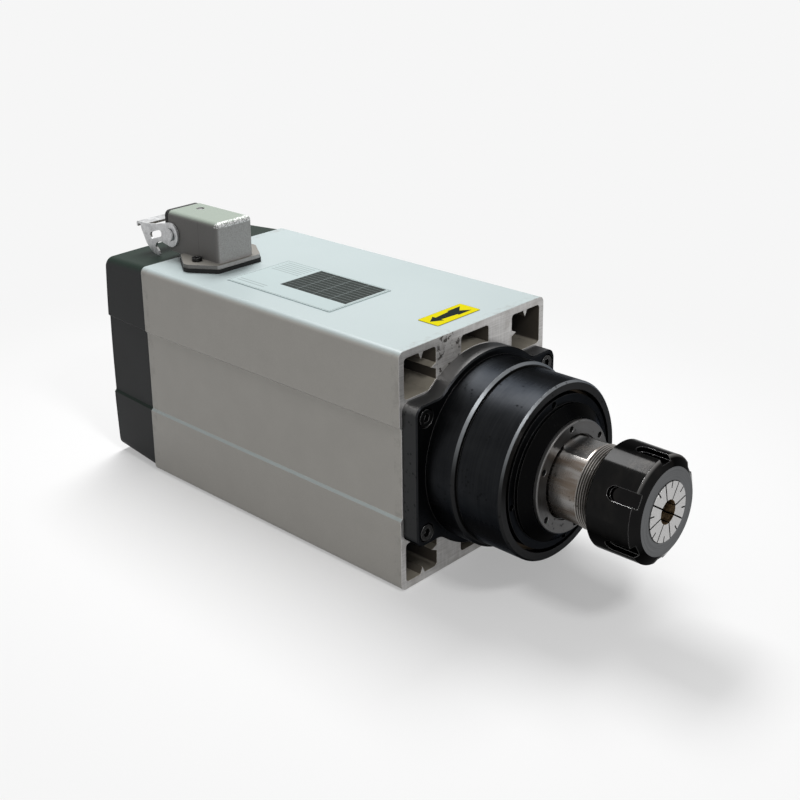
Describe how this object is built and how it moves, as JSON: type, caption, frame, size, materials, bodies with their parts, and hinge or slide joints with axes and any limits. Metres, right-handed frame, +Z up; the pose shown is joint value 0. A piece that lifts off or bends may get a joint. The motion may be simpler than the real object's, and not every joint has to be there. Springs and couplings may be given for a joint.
{
  "type": "motor spindle",
  "caption": "Square air-cooled electric motor spindle with a flanged bearing nose, collet chuck and nut, top connector with locking lever, and a rear fan cover.",
  "frame": {"origin": "centre of the four mounting holes, on the underside of the motor housing", "axes": "+X along the spindle axis towards the tool, +Y to the side away from the connector, +Z up from the mounting face towards the connector"},
  "size_m": [0.4227, 0.131, 0.1827],
  "materials": {
    "housing_paint": "grey satin enamel on an aluminium extrusion",
    "electrical_steel": "stacked laminations",
    "copper_winding": "varnished copper wire",
    "black_oxide_steel": "turned and blackened steel",
    "cast_aluminium": "as cast",
    "cover_plastic": "charcoal, fine texture",
    "black_rubber": "moulded",
    "hood_paint": "grey powder coat on die-cast metal",
    "insert_plastic": "light beige",
    "silver_plated_brass": "plated",
    "zinc_plated_steel": "clear zinc plate",
    "plate_film": "printed film",
    "ground_steel": "ground",
    "collet_steel": "ground and slit",
    "nut_steel": "polished black finish with a satin face",
    "bearing_steel": "ground and polished",
    "cage_brass": "machined"
  },
  "bodies": {
    "frame": {"motor_housing": "housing_paint", "stator_core": "electrical_steel", "stator_winding_front": "copper_winding", "stator_winding_rear": "copper_winding", "front_bearing_housing": "black_oxide_steel", "flange_screws": "black_oxide_steel", "inboard_bearing_outer_ring": "bearing_steel", "outboard_bearing_outer_ring": "bearing_steel", "outer_spacer": "ground_steel", "front_cover": "black_oxide_steel", "rear_end_shield": "cast_aluminium", "shield_screws": "black_oxide_steel", "preload_spring": "ground_steel", "rear_bearing_outer_ring": "bearing_steel", "rear_cover": "cover_plastic", "cover_screws": "black_oxide_steel", "connector_gasket": "black_rubber", "connector_hood": "hood_paint", "foot_screws": "black_oxide_steel", "mouth_seal": "black_rubber", "contact_insert": "insert_plastic", "contact_pins": "silver_plated_brass", "insert_screw": "zinc_plated_steel", "pivot_studs": "zinc_plated_steel", "rating_plate": "plate_film", "arrow_label": "plate_film"},
    "spindle": {"spindle_shaft": "ground_steel", "inboard_bearing_inner_ring": "bearing_steel", "outboard_bearing_inner_ring": "bearing_steel", "rear_bearing_inner_ring": "bearing_steel", "inner_spacer": "ground_steel", "bearing_lock_nut": "black_oxide_steel", "balance_ring": "black_oxide_steel", "rotor_core": "electrical_steel", "rotor_end_ring_front": "cast_aluminium", "rotor_end_ring_rear": "cast_aluminium", "fan": "cover_plastic", "fan_circlip": "ground_steel"},
    "inboard_ball_set": {"inboard_bearing_balls": "bearing_steel", "inboard_bearing_cage": "cage_brass"},
    "outboard_ball_set": {"outboard_bearing_balls": "bearing_steel", "outboard_bearing_cage": "cage_brass"},
    "rear_ball_set": {"rear_bearing_balls": "bearing_steel", "rear_bearing_cage": "cage_brass"},
    "collet": {"collet": "collet_steel"},
    "nut": {"collet_nut": "nut_steel"},
    "lever": {"locking_lever": "zinc_plated_steel"}
  },
  "joints": [
    {"name": "spindle_spin", "type": "hinge", "parent": "frame", "child": "spindle", "pos_m": [0, 0, 0.075], "axis": [1, 0, 0], "continuous": true},
    {"name": "inboard_balls_roll", "type": "hinge", "parent": "frame", "child": "inboard_ball_set", "pos_m": [0, 0, 0.075], "axis": [1, 0, 0], "continuous": true},
    {"name": "outboard_balls_roll", "type": "hinge", "parent": "frame", "child": "outboard_ball_set", "pos_m": [0, 0, 0.075], "axis": [1, 0, 0], "continuous": true},
    {"name": "rear_balls_roll", "type": "hinge", "parent": "frame", "child": "rear_ball_set", "pos_m": [0, 0, 0.075], "axis": [1, 0, 0], "continuous": true},
    {"name": "collet_feed", "type": "slide", "parent": "spindle", "child": "collet", "axis": [1, 0, 0], "range_m": [0, 0.0046]},
    {"name": "nut_turn", "type": "hinge", "parent": "collet", "child": "nut", "pos_m": [0.2, 0, 0.075], "axis": [1, 0, 0], "range_deg": [0, 1080]},
    {"name": "lever_swing", "type": "hinge", "parent": "frame", "child": "lever", "pos_m": [-0.1209, -0.0209, 0.1667], "axis": [0, 1, 0], "range_deg": [0, 80]}
  ],
  "couplings": [
    {"joint": "inboard_balls_roll", "follows": "spindle_spin", "ratio": 0.4323},
    {"joint": "outboard_balls_roll", "follows": "spindle_spin", "ratio": 0.4323},
    {"joint": "rear_balls_roll", "follows": "spindle_spin", "ratio": 0.3824},
    {"joint": "collet_feed", "follows": "nut_turn", "m_per_rad": 0.00023873}
  ]
}
